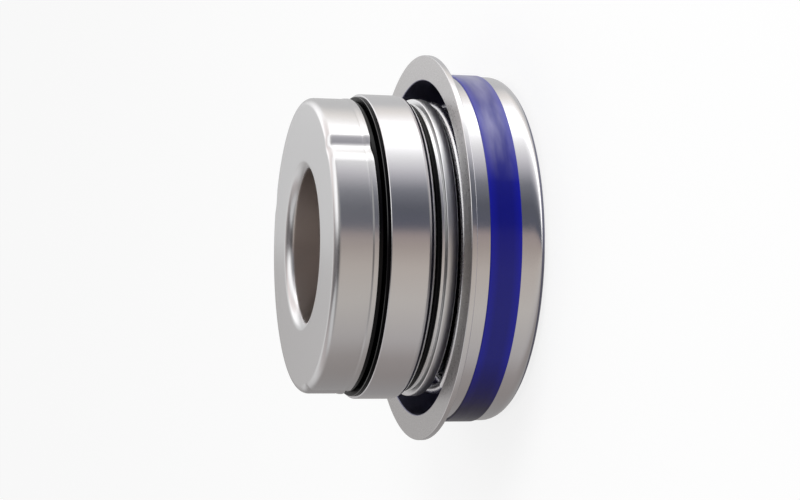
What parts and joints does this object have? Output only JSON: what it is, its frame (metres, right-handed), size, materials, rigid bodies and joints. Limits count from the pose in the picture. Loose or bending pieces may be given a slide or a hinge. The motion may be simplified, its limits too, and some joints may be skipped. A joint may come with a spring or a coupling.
{
  "type": "double mechanical seal",
  "caption": "Flanged press-in double mechanical seal for a pump shaft, with seat cup, shell, coil spring and a coated housing.",
  "frame": {"origin": "middle of the flat back end of the housing", "axes": "+Z along the shaft, from the housing's back end to the seat cup's face"},
  "size_m": [0.0406, 0.0406, 0.021],
  "materials": {
    "cup_steel": "satin drawn stainless",
    "housing_steel": "tumbled drawn stainless",
    "spring_steel": "bright drawn spring wire",
    "plain_steel": "plain pressed steel",
    "sealant": "cured blue sealant, semi-gloss",
    "black_rubber": "moulded nitrile, slight gloss",
    "carbon": "lapped carbon graphite",
    "carbide": "lapped silicon carbide",
    "ceramic": "lapped alumina"
  },
  "bodies": {
    "housing": {"housing": "housing_steel", "sealant_band": "sealant", "tail_band": "plain_steel", "bellows": "black_rubber", "main_spring": "spring_steel", "rear_retainer": "plain_steel", "wave_spring": "spring_steel"},
    "face_carrier": {"face_shell": "cup_steel", "front_face_ring": "carbon", "spring_retainer": "spring_steel"},
    "rotor": {"seat_sleeve": "cup_steel", "seat_boot": "black_rubber", "front_seat_ring": "carbide", "rear_seat_ring": "ceramic", "rear_seat_oring": "black_rubber", "drive_collar": "plain_steel", "drive_pins": "plain_steel"},
    "rear_carrier": {"rear_face_ring": "carbon", "rear_face_oring": "black_rubber", "thrust_washer": "plain_steel"}
  },
  "joints": [
    {"name": "front_travel", "type": "slide", "parent": "housing", "child": "face_carrier", "axis": [0, 0, -1], "range_m": [0, 0.0012], "stiffness_N_per_m": 4000, "springref_m": -0.002, "deforming": ["main_spring", "bellows"]},
    {"name": "seat_spin", "type": "hinge", "parent": "face_carrier", "child": "rotor", "pos_m": [0, 0, 0], "axis": [0, 0, 1], "continuous": true},
    {"name": "rear_travel", "type": "slide", "parent": "housing", "child": "rear_carrier", "axis": [0, 0, -1], "range_m": [0, 0.0012], "stiffness_N_per_m": 800, "springref_m": -0.0005, "deforming": ["wave_spring"]}
  ],
  "couplings": [
    {"joint": "rear_travel", "follows": "front_travel", "ratio": 1}
  ]
}
